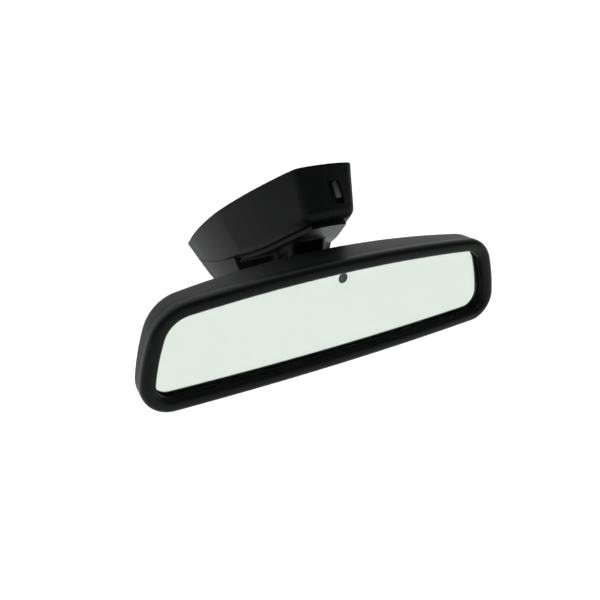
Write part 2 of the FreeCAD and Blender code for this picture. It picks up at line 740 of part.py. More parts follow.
def coverClips():
    """Spring strips under the plate; their turned-down ends bear on the covers' side walls."""
    hollow = footLoft(coverWall, -2, 60)
    core = footLoft(coverWall + clipThickness, -2, 60)
    top = -plateThickness
    far = 60
    parts = []
    for x, y in platePlaces:
        side = 1 if x > 0 else -1
        near, end = sorted((x - clipHalf * side, far * side))
        flat = box((near, y - clipHalf, top - clipThickness), (end, y + clipHalf, top))
        leg = box((near, y - clipHalf, top - clipLeg), (end, y + clipHalf, top)).cut(core)
        clip = flat.fuse(leg).common(hollow)
        clip = clip.cut(cylinder(plateHoleRadius + 0.3, (x, y, top - 5), (0, 0, 1), 8))
        parts.append(onFoot(clip))
    return Part.makeCompound(parts)


pieces = {
    "bezel": bezel,
    "rear_housing": rearHousing,
    "front_glass": frontGlass,
    "cell_seal": cellSeal,
    "cell_gel": cellGel,
    "rear_glass": rearGlass,
    "upper_bus_clip": lambda: busClips(1),
    "lower_bus_clip": lambda: busClips(-1),
    "foam_pad": foamPad,
    "carrier_plate": carrierPlate,
    "circuit_board": circuitBoard,
    "board_spacers": boardSpacers,
    "board_chips": chips,
    "board_header": boardHeader,
    "light_pipe": lightPipe,
    "glare_sensor": glareSensor,
    "ambient_sensor": ambientSensor,
    "ambient_lens": ambientLens,
    "housing_screws": housingScrews,
    "ball_liner": ballLiner,
    "spring_cup": springCup,
    "ball_socket": ballSocket,
    "socket_screws": socketScrews,
    "ball_stud": ballStud,
    "foot_casting": footCasting,
    "button_spring": buttonSpring,
    "plate_screws": plateScrews,
    "cover_clips": coverClips,
    "left_cover": lambda: coverHalf(-1),
    "right_cover": lambda: coverHalf(1),
    "lower_shroud": lowerShroud,
    "air_sensor": airSensor,
    "sensor_tray": sensorTray,
}

for pieceName, maker in pieces.items():
    save(pieceName, maker())
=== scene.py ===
import json
import math

import bpy
import numpy as np
from mathutils import Matrix, Vector

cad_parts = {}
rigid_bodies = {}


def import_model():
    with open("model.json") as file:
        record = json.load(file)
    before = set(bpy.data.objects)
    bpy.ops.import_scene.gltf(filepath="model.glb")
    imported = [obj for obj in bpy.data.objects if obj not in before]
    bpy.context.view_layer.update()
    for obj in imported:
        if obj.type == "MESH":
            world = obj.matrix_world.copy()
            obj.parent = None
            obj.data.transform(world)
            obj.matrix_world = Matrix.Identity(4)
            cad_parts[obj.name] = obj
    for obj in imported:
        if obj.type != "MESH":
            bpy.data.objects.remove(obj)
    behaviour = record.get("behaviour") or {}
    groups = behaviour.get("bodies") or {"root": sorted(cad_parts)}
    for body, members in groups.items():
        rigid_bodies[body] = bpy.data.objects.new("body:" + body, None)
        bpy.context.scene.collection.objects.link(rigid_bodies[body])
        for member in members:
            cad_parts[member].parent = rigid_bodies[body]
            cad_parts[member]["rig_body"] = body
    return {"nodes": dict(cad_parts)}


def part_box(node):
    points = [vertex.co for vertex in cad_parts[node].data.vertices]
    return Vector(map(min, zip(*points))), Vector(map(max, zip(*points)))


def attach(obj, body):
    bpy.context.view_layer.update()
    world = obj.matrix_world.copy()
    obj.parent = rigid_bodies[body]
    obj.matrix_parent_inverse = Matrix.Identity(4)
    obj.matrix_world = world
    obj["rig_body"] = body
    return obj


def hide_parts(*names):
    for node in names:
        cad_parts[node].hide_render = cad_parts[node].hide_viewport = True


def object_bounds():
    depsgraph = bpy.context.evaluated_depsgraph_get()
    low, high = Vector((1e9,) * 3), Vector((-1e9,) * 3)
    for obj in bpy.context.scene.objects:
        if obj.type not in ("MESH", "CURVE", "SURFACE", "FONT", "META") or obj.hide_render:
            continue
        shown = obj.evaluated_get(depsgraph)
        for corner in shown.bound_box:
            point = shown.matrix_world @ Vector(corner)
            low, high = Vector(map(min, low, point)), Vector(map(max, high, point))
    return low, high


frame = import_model()
cadBox = [list(corner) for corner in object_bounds()]
nodes = frame["nodes"]
mm = 0.001
print("frame loaded:", len(nodes), "nodes")

# numbers shared by the finishes
grainShape = {"fineScale": 1.7, "fineShare": 0.4, "cloudDetail": 4.0, "cloudRoughness": 0.6}
clouds = 22.0                  # size of the slow cloudy variation, per metre
# the edge colour factor and lift make plastic edges paler: a painted edge sheen together with rubbed wear
plasticTone = {"dark": 0.86, "pale": 1.14, "edgeSheenAndWear": 1.7, "edgeSheenAndWearLift": 0.002, "bumpDepth": 0.00012}
metalTone = {"dark": 0.85, "pale": 1.1, "bumpDepth": 0.00008}
coatTone = {"dark": 0.99, "pale": 1.005, "cells": 900.0, "clouds": 9.0}


# a shader group with number sockets: inputs with their defaults, then outputs
def newGroup(name, inputs, outputs):
    group = bpy.data.node_groups.new(name, "ShaderNodeTree")
    for label, default in inputs:
        socket = group.interface.new_socket(name=label, in_out="INPUT", socket_type="NodeSocketFloat")
        socket.default_value = default
    for label in outputs:
        group.interface.new_socket(name=label, in_out="OUTPUT", socket_type="NodeSocketFloat")
    return group, group.nodes.new("NodeGroupInput"), group.nodes.new("NodeGroupOutput")


# one arithmetic node; each side is a number or another node's output
def mathNode(tree, operation, a, b):
    node = tree.nodes.new("ShaderNodeMath")
    node.operation = operation
    for socket, value in zip(node.inputs, (a, b)):
        if isinstance(value, (int, float)):
            socket.default_value = value
        else:
            tree.links.new(value, socket)
    return node.outputs[0]


# fractal noise at these coordinates, from 0 to 1
def noiseNode(tree, coords, scale, detail=2.0, roughness=0.5):
    node = tree.nodes.new("ShaderNodeTexNoise")
    node.inputs["Detail"].default_value = detail
    node.inputs["Roughness"].default_value = roughness
    if isinstance(scale, (int, float)):
        node.inputs["Scale"].default_value = scale
    else:
        tree.links.new(scale, node.inputs["Scale"])
    tree.links.new(coords, node.inputs["Vector"])
    return node.outputs["Fac"]


# mould grain: small rounded cells from a Voronoi distance plus fine noise; "Tone" is slow cloudy variation
def buildGrain():
    group, source, sink = newGroup("mouldGrain", [("Cells", 1500.0), ("Clouds", clouds)], ["Height", "Tone"])
    coords = group.nodes.new("ShaderNodeTexCoord").outputs["Object"]
    cells = group.nodes.new("ShaderNodeTexVoronoi")
    cells.feature = "SMOOTH_F1"
    group.links.new(coords, cells.inputs["Vector"])
    group.links.new(source.outputs["Cells"], cells.inputs["Scale"])
    fine = noiseNode(group, coords, mathNode(group, "MULTIPLY", source.outputs["Cells"],
                                                grainShape["fineScale"]))
    fineBumps = mathNode(group, "MULTIPLY", fine, grainShape["fineShare"])
    bumps = mathNode(group, "ADD", cells.outputs["Distance"], fineBumps)
    group.links.new(bumps, sink.inputs["Height"])
    tone = noiseNode(group, coords, source.outputs["Clouds"], grainShape["cloudDetail"],
                     grainShape["cloudRoughness"])
    group.links.new(tone, sink.inputs["Tone"])
    return group


# edges with painted sheen and rubbed wear: (pointiness - 0.5) * sharpness, kept from 0 to 1, times amount
def buildEdges():
    group, source, sink = newGroup("sheenAndWearEdges", [("Sharpness", 6.0), ("Amount", 0.5)], ["Mask"])
    turned = group.nodes.new("ShaderNodeNewGeometry").outputs["Pointiness"]
    flatValue = 0.5                # pointiness of a flat surface
    lifted = mathNode(group, "SUBTRACT", turned, flatValue)
    steep = mathNode(group, "MULTIPLY", lifted, source.outputs["Sharpness"])
    node = group.nodes.new("ShaderNodeClamp")
    group.links.new(steep, node.inputs["Value"])
    mask = mathNode(group, "MULTIPLY", node.outputs[0], source.outputs["Amount"])
    group.links.new(mask, sink.inputs["Mask"])
    return group


# fine parallel marks from machining or drawing: noise stretched along the y axis of the piece
def buildBrush():
    group, source, sink = newGroup("drawnMarks", [("Across", 2500.0), ("Along", 60.0)], ["Height"])
    coords = group.nodes.new("ShaderNodeTexCoord").outputs["Object"]
    split = group.nodes.new("ShaderNodeSeparateXYZ")
    join = group.nodes.new("ShaderNodeCombineXYZ")
    group.links.new(coords, split.inputs[0])
    for axis, stretch in (("X", "Across"), ("Y", "Along"), ("Z", "Across")):
        scaled = mathNode(group, "MULTIPLY", split.outputs[axis], source.outputs[stretch])
        group.links.new(scaled, join.inputs[axis])
    unscaled, markDetail = 1.0, 3.0
    group.links.new(noiseNode(group, join.outputs[0], unscaled, markDetail), sink.inputs["Height"])
    return group


grainGroup = buildGrain()
edgeGroup = buildEdges()
brushGroup = buildBrush()


# an empty material with its node tree and its surface shader
def startMaterial(name):
    material = bpy.data.materials.new(name)
    material.use_nodes = True
    return material, material.node_tree, material.node_tree.nodes["Principled BSDF"]


# a shader group placed in a material, with values for some of its inputs
def placeGroup(tree, group, values):
    node = tree.nodes.new("ShaderNodeGroup")
    node.node_tree = group
    for label, value in values.items():
        node.inputs[label].default_value = value
    return node


# a mask from 0 to 1 spread from low to high
def between(tree, mask, low, high):
    node = tree.nodes.new("ShaderNodeMapRange")
    tree.links.new(mask, node.inputs["Value"])
    node.inputs["To Min"].default_value = low
    node.inputs["To Max"].default_value = high
    return node.outputs[0]


# the first colour where the mask is 0, the second where it is 1; sockets 6, 7 and 2 of a mix node
# are its two colours and its result
def twoColours(tree, mask, first, second):
    node = tree.nodes.new("ShaderNodeMix")
    node.data_type = "RGBA"
    node.inputs[6].default_value = (*first, 1)
    node.inputs[7].default_value = (*second, 1)
    tree.links.new(mask, node.inputs[0])
    return node.outputs[2]


# moulded plastic: cloudy tone, grain bump, edges painted paler, a painted edge sheen together with rubbed
# wear
def mouldedPlastic(name, look):
    material, tree, shader = startMaterial(name)
    grain = placeGroup(tree, grainGroup, {"Cells": look["cells"], "Clouds": clouds})
    edges = placeGroup(tree, edgeGroup, {"Amount": look.get("edge", 0.5)})
    base = np.array(look["colour"])
    cloudy = twoColours(tree, grain.outputs["Tone"], base * plasticTone["dark"],
                        base * plasticTone["pale"])
    # the paler edge colour under the edge mask is a painted sheen on the edges together with rubbed wear
    mixed = tree.nodes.new("ShaderNodeMix")
    mixed.data_type = "RGBA"
    mixed.inputs[7].default_value = (*(base * plasticTone["edgeSheenAndWear"] + plasticTone["edgeSheenAndWearLift"]), 1)
    tree.links.new(edges.outputs["Mask"], mixed.inputs[0])
    tree.links.new(cloudy, mixed.inputs[6])
    tree.links.new(mixed.outputs[2], shader.inputs["Base Color"])
    low, high = look["rough"]
    tree.links.new(between(tree, grain.outputs["Tone"], low, high), shader.inputs["Roughness"])
    shader.inputs["Specular IOR Level"].default_value = look.get("shine", 0.5)
    bump = tree.nodes.new("ShaderNodeBump")
    bump.inputs["Strength"].default_value = look["bump"]
    bump.inputs["Distance"].default_value = plasticTone["bumpDepth"]
    tree.links.new(grain.outputs["Height"], bump.inputs["Height"])
    tree.links.new(bump.outputs["Normal"], shader.inputs["Normal"])
    return material


# bare metal: drawn marks in bump and roughness over one metal colour
def bareMetal(name, look):
    material, tree, shader = startMaterial(name)
    marks = placeGroup(tree, brushGroup, {"Across": look["across"], "Along": look["along"]})
    base = np.array(look["colour"])
    streaked = twoColours(tree, marks.outputs["Height"], base * metalTone["dark"], base * metalTone["pale"])
    tree.links.new(streaked, shader.inputs["Base Color"])
    low, high = look["rough"]
    tree.links.new(between(tree, marks.outputs["Height"], low, high), shader.inputs["Roughness"])
    shader.inputs["Metallic"].default_value = 1.0
    bump = tree.nodes.new("ShaderNodeBump")
    bump.inputs["Strength"].default_value = look["bump"]
    bump.inputs["Distance"].default_value = metalTone["bumpDepth"]
    tree.links.new(marks.outputs["Height"], bump.inputs["Height"])
    tree.links.new(bump.outputs["Normal"], shader.inputs["Normal"])
    return material


# clear glass or gel: a faint tint over what lies behind, smooth
def clearGlass(name, look):
    material, _, shader = startMaterial(name)
    shader.inputs["Base Color"].default_value = (*look["colour"], 1)
    shader.inputs["Roughness"].default_value = look["rough"]
    shader.inputs["IOR"].default_value = look["ior"]
    shader.inputs["Alpha"].default_value = look["cover"]
    return material


# reflector: metal coat with a very slow unevenness in its tone
def reflectorCoat(name, look):
    material, tree, shader = startMaterial(name)
    grain = placeGroup(tree, grainGroup, {"Cells": coatTone["cells"], "Clouds": coatTone["clouds"]})
    base = np.array(look["colour"])
    uneven = twoColours(tree, grain.outputs["Tone"], base * coatTone["dark"], base * coatTone["pale"])
    tree.links.new(uneven, shader.inputs["Base Color"])
    shader.inputs["Metallic"].default_value = 1.0
    shader.inputs["Roughness"].default_value = look["rough"]
    return material


finishes = {
    "bezelSatin": (mouldedPlastic, {"colour": (0.0026, 0.0029, 0.0032), "rough": (0.34, 0.42),
                                    "cells": 2600.0, "bump": 0.12, "edge": 0.2, "shine": 0.11}),
    "housingGrain": (mouldedPlastic, {"colour": (0.0026, 0.0028, 0.0030), "rough": (0.42, 0.54),
                                      "cells": 1900.0, "bump": 0.35, "edge": 0.35, "shine": 0.11}),
    "coverGrain": (mouldedPlastic, {"colour": (0.0022, 0.0025, 0.0026), "rough": (0.40, 0.50),
                                    "cells": 1700.0, "bump": 0.45, "edge": 0.35, "shine": 0.10}),
    # the shroud's black is darker than the covers' black to paint the shade that falls under the covers
    "shroudSatin": (mouldedPlastic, {"colour": (0.0016, 0.0017, 0.0017), "rough": (0.34, 0.44),
                                     "cells": 2100.0, "bump": 0.3, "edge": 0.3, "shine": 0.08}),
    "sensorGrey": (mouldedPlastic, {"colour": (0.13, 0.12, 0.125), "rough": (0.5, 0.6), "cells": 2600.0,
                                    "bump": 0.2}),
    "sealBlack": (mouldedPlastic, {"colour": (0.012, 0.012, 0.012), "rough": (0.7, 0.85),
                                   "cells": 3000.0, "bump": 0.2}),
    "foamGrey": (mouldedPlastic, {"colour": (0.06, 0.06, 0.06), "rough": (0.9, 1.0), "cells": 1300.0,
                                  "bump": 0.9}),
    "nylonBlack": (mouldedPlastic, {"colour": (0.006, 0.006, 0.007), "rough": (0.5, 0.65),
                                    "cells": 900.0, "bump": 0.3, "shine": 0.15}),
    "acetalWhite": (mouldedPlastic, {"colour": (0.72, 0.71, 0.66), "rough": (0.28, 0.36),
                                     "cells": 2400.0, "bump": 0.05}),
    "boardGreen": (mouldedPlastic, {"colour": (0.012, 0.085, 0.028), "rough": (0.25, 0.35),
                                    "cells": 1200.0, "bump": 0.15}),
    "chipEpoxy": (mouldedPlastic, {"colour": (0.017, 0.017, 0.018), "rough": (0.45, 0.55),
                                   "cells": 3500.0, "bump": 0.3}),
    "smokedLens": (mouldedPlastic, {"colour": (0.028, 0.025, 0.030), "rough": (0.16, 0.22),
                                    "cells": 3000.0, "bump": 0.02}),
    "springSteel": (bareMetal, {"colour": (0.30, 0.31, 0.33), "rough": (0.28, 0.42), "across": 2200.0,
                                "along": 70.0, "bump": 0.25}),
    "tinnedStrip": (bareMetal, {"colour": (0.55, 0.53, 0.48), "rough": (0.22, 0.36), "across": 2500.0,
                                "along": 2500.0, "bump": 0.1}),
    "zincScrew": (bareMetal, {"colour": (0.48, 0.48, 0.47), "rough": (0.3, 0.45), "across": 1800.0,
                              "along": 1800.0, "bump": 0.2}),
    "groundSteel": (bareMetal, {"colour": (0.42, 0.43, 0.45), "rough": (0.16, 0.26), "across": 3200.0,
                                "along": 60.0, "bump": 0.12}),
    "castAlloy": (bareMetal, {"colour": (0.36, 0.36, 0.37), "rough": (0.5, 0.68), "across": 700.0,
                              "along": 700.0, "bump": 0.8}),
    "faceGlass": (clearGlass, {"colour": (0.03, 0.05, 0.035), "rough": 0.0, "ior": 1.5, "cover": 0.04}),
    "cellGel": (clearGlass, {"colour": (0.04, 0.06, 0.04), "rough": 0.0, "ior": 1.48, "cover": 0.02}),
    "mirrorCoat": (reflectorCoat, {"colour": (0.81, 0.86, 0.81), "rough": 0.015}),
}
materials = {name: build(name, look) for name, (build, look) in finishes.items()}
print("finishes made:", len(materials))

# CAD nodes that stay as they are, mostly hidden inside, with their finishes
innerFinish = {
    "cell_seal": "sealBlack", "rear_glass": "mirrorCoat",
    "upper_bus_clip": "tinnedStrip", "lower_bus_clip": "tinnedStrip", "foam_pad": "foamGrey",
    "carrier_plate": "nylonBlack", "circuit_board": "boardGreen", "board_spacers": "nylonBlack",
    "board_chips": "chipEpoxy", "glare_sensor": "chipEpoxy", "ambient_sensor": "chipEpoxy",
    "housing_screws": "zincScrew", "socket_screws": "zincScrew", "plate_screws": "zincScrew",
    "ball_liner": "acetalWhite", "spring_cup": "springSteel", "button_spring": "springSteel",
    "cover_clips": "springSteel",
}
for node, finish in innerFinish.items():
    mesh = nodes[node].data
    mesh.materials.clear()
    mesh.materials.append(materials[finish])

# smooth-shaded copies of the shells seen from outside; angle is where shading breaks, in degrees
shells = {
    "rearHousingShell": {"node": "rear_housing", "finish": "housingGrain", "slot": "housing_black",
                         "angle": 28},
    "leftCoverShell": {"node": "left_cover", "finish": "coverGrain", "slot": "cover_black",
                       "angle": 24},
    "rightCoverShell": {"node": "right_cover", "finish": "coverGrain", "slot": "cover_black",
                        "angle": 24},
    "lowerShroudShell": {"node": "lower_shroud", "finish": "shroudSatin", "slot": "shroud_black",
                         "angle": 28},
    "ballSocketCup": {"node": "ball_socket", "finish": "nylonBlack", "slot": "socket_black",
                      "angle": 30},
    "ballStudTurned": {"node": "ball_stud", "finish": "groundSteel", "slot": "ball_steel", "angle": 35},
    "footCastingBody": {"node": "foot_casting", "finish": "castAlloy", "slot": "casting_alloy",
                        "angle": 32},
    "headerShell": {"node": "board_header", "finish": "nylonBlack", "slot": "header_black",
                    "angle": 30},
    "ambientLensDome": {"node": "ambient_lens", "finish": "smokedLens", "slot": "smoked_lens",
                        "angle": 40},
    "glareLens": {"node": "light_pipe", "finish": "smokedLens", "slot": "smoked_lens", "angle": 30},
    "airSensorBody": {"node": "air_sensor", "finish": "sensorGrey", "slot": "sensor_grey", "angle": 30},
}
weld = 2e-6          # corners closer than this are one


# the moving body that a node belongs to
def bodyOf(node):
    return nodes[node]["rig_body"]


# an object for this mesh, in the scene, with one finish
def newPiece(name, mesh, finish):
    piece = bpy.data.objects.new(name, mesh)
    bpy.context.scene.collection.objects.link(piece)
    mesh.materials.append(materials[finish])
    return piece


# a node's triangles with their shared corners merged, so shading runs across them
def weldedCopy(name, spec):
    mesh = nodes[spec["node"]].data
    points = np.empty(len(mesh.vertices) * 3)
    mesh.vertices.foreach_get("co", points)
    keys = np.round(points.reshape(-1, 3) / weld).astype(np.int64)
    _, first, inverse = np.unique(keys, axis=0, return_index=True, return_inverse=True)
    corners = np.empty(len(mesh.loops), dtype=np.int64)
    mesh.loops.foreach_get("vertex_index", corners)
    faces = inverse.reshape(-1)[corners].reshape(-1, 3)
    # a triangle that lost a corner in the merge is left out
    real = (faces != np.roll(faces, 1, axis=1)).all(axis=1)
    fresh = bpy.data.meshes.new(name)
    fresh.from_pydata(points.reshape(-1, 3)[first].tolist(), [], faces[real].tolist())
    fresh.validate()
    fresh.shade_smooth()
    fresh.set_sharp_from_angle(angle=math.radians(spec["angle"]))
    piece = newPiece(name, fresh, spec["finish"])
    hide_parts(spec["node"])
    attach(piece, bodyOf(spec["node"]))


for name, spec in shells.items():
    weldedCopy(name, spec)
print("shells made:", len(shells))

# dark tray round the sensor behind the window: a back and four walls, sizes in millimetres
sensorBox = {
    "left": -1.5, "right": 14.5,       # across, from the middle
    "top": -6.0, "bottom": -25.0,      # below the windscreen
    "back": 9.4, "thickness": 1.2, "wall": 0.8,
    "coverLean": 0.2, "coverInside": 2.3,      # inner face of the cover: y = lean * depth + inside
    "slope": 34.0,                     # of the windscreen, from level
}


# a slab's eight corners; its front is at y, or on the cover's inner face where that is None
def slab(size, x, y, z):
    fronts = [size["coverInside"] - size["coverLean"] * height if y is None else y for height in z]
    end = size["back"] + size["thickness"]
    return [(across, deep, z[level]) for level in (0, 1) for deep in (fronts[level], end) for across in x]


# the tray is five slabs in the windscreen's frame, turned to the slope and set on the CAD tray
def sensorSurround(size):
    left, right, top, bottom, wall = size["left"], size["right"], size["top"], size["bottom"], size["wall"]
    slabs = [slab(size, (left, right), size["back"], (bottom, top)),
             slab(size, (left, left + wall), None, (bottom, top)),
             slab(size, (right - wall, right), None, (bottom, top)),
             slab(size, (left, right), None, (top - wall, top)),
             slab(size, (left, right), None, (bottom, bottom + wall))]
    corners = np.array(slabs).reshape(-1, 3)
    angle = math.radians(size["slope"])
    # turn about x by minus the slope: y' = y cos + z sin, z' = z cos - y sin
    x, y, z = corners.T
    turned = np.column_stack([x, y * math.cos(angle) + z * math.sin(angle),
                              z * math.cos(angle) - y * math.sin(angle)]) * mm
    perSlab = len(slabs[0])
    # the first slab is the CAD tray's own plate, so their low corners meet
    points = turned + np.array(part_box("sensor_tray")[0]) - turned[:perSlab].min(axis=0)
    sides = [(0, 2, 3, 1), (4, 5, 7, 6), (0, 1, 5, 4), (2, 6, 7, 3), (0, 4, 6, 2), (1, 3, 7, 5)]
    faces = [tuple(perSlab * n + corner for corner in side) for n in range(len(slabs)) for side in sides]
    mesh = bpy.data.meshes.new("sensorSurround")
    mesh.from_pydata(points.tolist(), [], faces)
    piece = newPiece("sensorSurround", mesh, "nylonBlack")
    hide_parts("sensor_tray")
    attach(piece, bodyOf("sensor_tray"))


sensorSurround(sensorBox)
print("sensor tray made")

# the frame round the glass is a soft section carried along the glass outline, sizes in millimetres
frameSizes = {
    "glassHeight": 51.0, "glassHalfWidth": 112.0, "topCrown": 4.6, "bottomCrown": 2.0,
    "sideSlope": 0.293, "sideBow": 0.0046, "topCorner": 16.0, "bottomCorner": 9.0,
    "crownReach": 100.0,   # the crowns are measured this far from the middle
    "width": 8.5,          # across the section, all round the glass
    "proud": 4.0,          # in front of the glass
    "depth": 2.9,          # behind the glass front, to the joint with the housing
    "lap": 2.2,            # rebate that holds the glass
    "joint": 0.55,         # shadow line between frame and housing
    "jointLean": 0.25,     # the outer wall's last step before the joint
    "groove": (6.0, 7.3), "grooveFront": -0.95,    # groove behind for the carrier's rim
    "seat": 0.1,           # the inner wall stops short of the housing
    "flatness": 2.3,       # power of the front's curve; 2 is an ellipse
    "sharpAngle": 34.0,
    "stepsRound": 640, "stepsSection": 56,
    "settleRounds": 12,    # corner points of the outline are refined this often
    "arcSamples": 4000,    # points on each arc before they are spread out
    "bendRadius": 16.0, "straightRadius": 40.0, "bendLimits": (0.4, 1.6),    # tighter arcs get more steps
}


# centre and radius of the circle through three points of a plane
def circleOf(a, b, c):
    system = 2 * np.array([b - a, c - a])
    centre = np.linalg.solve(system, np.array([b @ b - a @ a, c @ c - a @ a]))
    return centre, np.linalg.norm(a - centre)


# centre of a circle of that radius which touches both circles from inside, on the right
def cornerCircle(edge, side, radius):
    (c1, r1), (c2, r2) = edge, side
    a, b = r1 - radius, r2 - radius
    span = c2 - c1
    length = np.linalg.norm(span)
    unit = span / length
    along = (a * a - b * b + length ** 2) / (2 * length)
    across = math.sqrt(a * a - along * along)
    normal = np.array([-unit[1], unit[0]])
    options = [c1 + unit * along + normal * across, c1 + unit * along - normal * across]
    return max(options, key=lambda point: point[0]), radius


# eight arcs that touch: top and bottom edge, two ends, four corners. The ends' x is
# half width - slope * z - bow * z^2. Gives points and outward directions, spread by length.
def glassOutline(size):
    half = size["glassHeight"] / 2
    ends = []
    for sign, crown in ((1, size["topCrown"]), (-1, size["bottomCrown"])):
        z = sign * half
        for _ in range(size["settleRounds"]):
            x = size["glassHalfWidth"] - size["sideSlope"] * z - size["sideBow"] * z * z
            z = sign * (half - crown * (x / size["crownReach"]) ** 2)
        ends.append(np.array([x, z]))
    flip = np.array([-1, 1])
    top = circleOf(ends[0] * flip, np.array([0, half]), ends[0])
    side = circleOf(ends[0], np.array([size["glassHalfWidth"], 0.0]), ends[1])
    bottom = circleOf(ends[1] * flip, np.array([0, -half]), ends[1])
    upper = cornerCircle(top, side, size["topCorner"])
    lower = cornerCircle(bottom, side, size["bottomCorner"])
    turn = []
    for first, second in ((top, upper), (side, upper), (side, lower), (bottom, lower)):
        direction = second[0] - first[0]
        turn.append(math.atan2(direction[1], direction[0]))
    upright = math.pi / 2
    arcs = [(top, upright, turn[0]), (upper, turn[0], turn[1]), (side, turn[1], turn[2]),
            (lower, turn[2], turn[3]), (bottom, turn[3], -upright)]
    samples = size["arcSamples"]
    angle = np.concatenate([np.linspace(start, end, samples) for _, start, end in arcs])
    centre = np.concatenate([np.tile(circle[0], (samples, 1)) for circle, _, _ in arcs])
    radius = np.concatenate([np.full(samples, circle[1]) for circle, _, _ in arcs])
    out = np.column_stack([np.cos(angle), np.sin(angle)])
    point = centre + out * radius[:, None]
    bend = np.clip(size["bendRadius"] / np.minimum(radius, size["straightRadius"]), *size["bendLimits"])
    strides = np.linalg.norm(np.diff(point, axis=0), axis=1) * bend[1:]
    length = np.concatenate([[0], np.cumsum(strides)])
    wanted = np.linspace(0, length[-1], size["stepsRound"] // 2 + 1)
    columns = np.column_stack([point, out])
    right = np.column_stack([np.interp(wanted, length, columns[:, i]) for i in range(4)])
    left = right[-2:0:-1] * np.array([-1, 1, -1, 1])
    both = np.concatenate([right, left])
    direction = both[:, 2:] / np.linalg.norm(both[:, 2:], axis=1)[:, None]
    return both[:, :2], direction


# closed section as (distance out from the glass edge, y): rounded front, rebate, groove, joint.
# The front is a flattened half round, |x/a|^flatness + |y/b|^flatness = 1.
def frameSection(size):
    width, proud, depth = size["width"], size["proud"], size["depth"]
    middle = width / 2
    turn = np.linspace(0, math.pi, size["stepsSection"])
    power = 2 / size["flatness"]
    across = middle + middle * np.sign(np.cos(turn)) * np.abs(np.cos(turn)) ** power
    forward = -proud * np.sin(turn) ** power
    front = np.column_stack([across, forward])
    inner, outer = size["groove"]
    step = width - size["joint"]
    back = [(0.0, 0.0), (size["lap"], 0.0), (size["lap"], depth), (inner, depth),
            (inner, size["grooveFront"]), (outer, size["grooveFront"]),
            (outer, depth - size["seat"]), (step, depth - size["seat"]),
            (step, depth - size["joint"]), (width, depth - size["joint"] - size["jointLean"])]
    return np.concatenate([front[:-1], np.array(back)])


# a grid closed both ways: corner (i, j) joins (i+1, j), (i+1, j+1), (i, j+1)
def gridMesh(name, points):
    rows, columns = points.shape[:2]
    i, j = np.meshgrid(np.arange(rows), np.arange(columns), indexing="ij")
    nextI, nextJ = (i + 1) % rows, (j + 1) % columns
    faces = np.stack([i * columns + j, nextI * columns + j, nextI * columns + nextJ, i * columns + nextJ],
                     axis=-1)
    mesh = bpy.data.meshes.new(name)
    mesh.from_pydata(points.reshape(-1, 3).tolist(), [], faces.reshape(-1, 4).tolist())
    mesh.validate()
    return mesh


# millimetres from the glass's middle and front, x, y and z, as places in the frame in metres
def onHead(x, y, z):
    low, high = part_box("front_glass")
    crownTop = frameSizes["glassHeight"] / 2 + frameSizes["width"]
    middleX = (low[0] + high[0]) / 2
    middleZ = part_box("bezel")[1][2] - crownTop * mm
    return np.stack([middleX + x * mm, low[1] + y * mm, middleZ + z * mm], axis=-1)


# point = outline + outward direction * the section's distance; y = the section's y
def glassFrame(size):
    outline, out = glassOutline(size)
    section = frameSection(size)
    plane = outline[:, None, :] + out[:, None, :] * section[None, :, :1]
    depth = np.broadcast_to(section[None, :, 1], plane.shape[:2])
    mesh = gridMesh("glassFrame", onHead(plane[..., 0], depth, plane[..., 1]))
    mesh.shade_smooth()
    mesh.set_sharp_from_angle(angle=math.radians(size["sharpAngle"]))
    piece = newPiece("glassFrame", mesh, "bezelSatin")
    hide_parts("bezel")
    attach(piece, bodyOf("bezel"))


glassFrame(frameSizes)

# clear panes in front of the mirror coat are ground-edge slabs on the same outline; from and to are
# millimetres behind the glass front
paneSizes = {"lap": 1.95, "groundEdge": 0.25, "edgeShare": 1 / 3}      # an edge is at most that share
panes = {
    "faceGlassPane": {"node": "front_glass", "finish": "faceGlass", "slot": "clear_glass",
                      "from": 0.02, "to": 1.84},
    "gelSheet": {"node": "cell_gel", "finish": "cellGel", "slot": "clear_gel", "from": 1.93, "to": 2.04},
}


# slab whose section is (lap - edge, front), (lap, front + edge), (lap, back - edge), (lap - edge, back)
def clearPane(name, spec):
    outline, out = glassOutline(frameSizes)
    edge = min(paneSizes["groundEdge"], (spec["to"] - spec["from"]) * paneSizes["edgeShare"])
    lap = paneSizes["lap"]
    section = np.array([(lap - edge, spec["from"]), (lap, spec["from"] + edge), (lap, spec["to"] - edge),
                        (lap - edge, spec["to"])])
    plane = outline[None, :, :] + out[None, :, :] * section[:, None, :1]
    depth = np.broadcast_to(section[:, None, 1], plane.shape[:2])
    points = onHead(plane[..., 0], depth, plane[..., 1])
    count, last = len(outline), len(section) - 1
    i, j = np.meshgrid(np.arange(last), np.arange(count), indexing="ij")
    nextJ = (j + 1) % count
    near, far = i * count, (i + 1) * count
    sides = np.stack([near + j, near + nextJ, far + nextJ, far + j], axis=-1)
    front, back = np.arange(count)[::-1], np.arange(count) + last * count
    faces = sides.reshape(-1, 4).tolist() + [front.tolist(), back.tolist()]
    mesh = bpy.data.meshes.new(name)
    mesh.from_pydata(points.reshape(-1, 3).tolist(), [], faces)
    piece = newPiece(name, mesh, spec["finish"])
    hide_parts(spec["node"])
    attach(piece, bodyOf(spec["node"]))


for name, spec in panes.items():
    clearPane(name, spec)
print("glass frame and panes made")

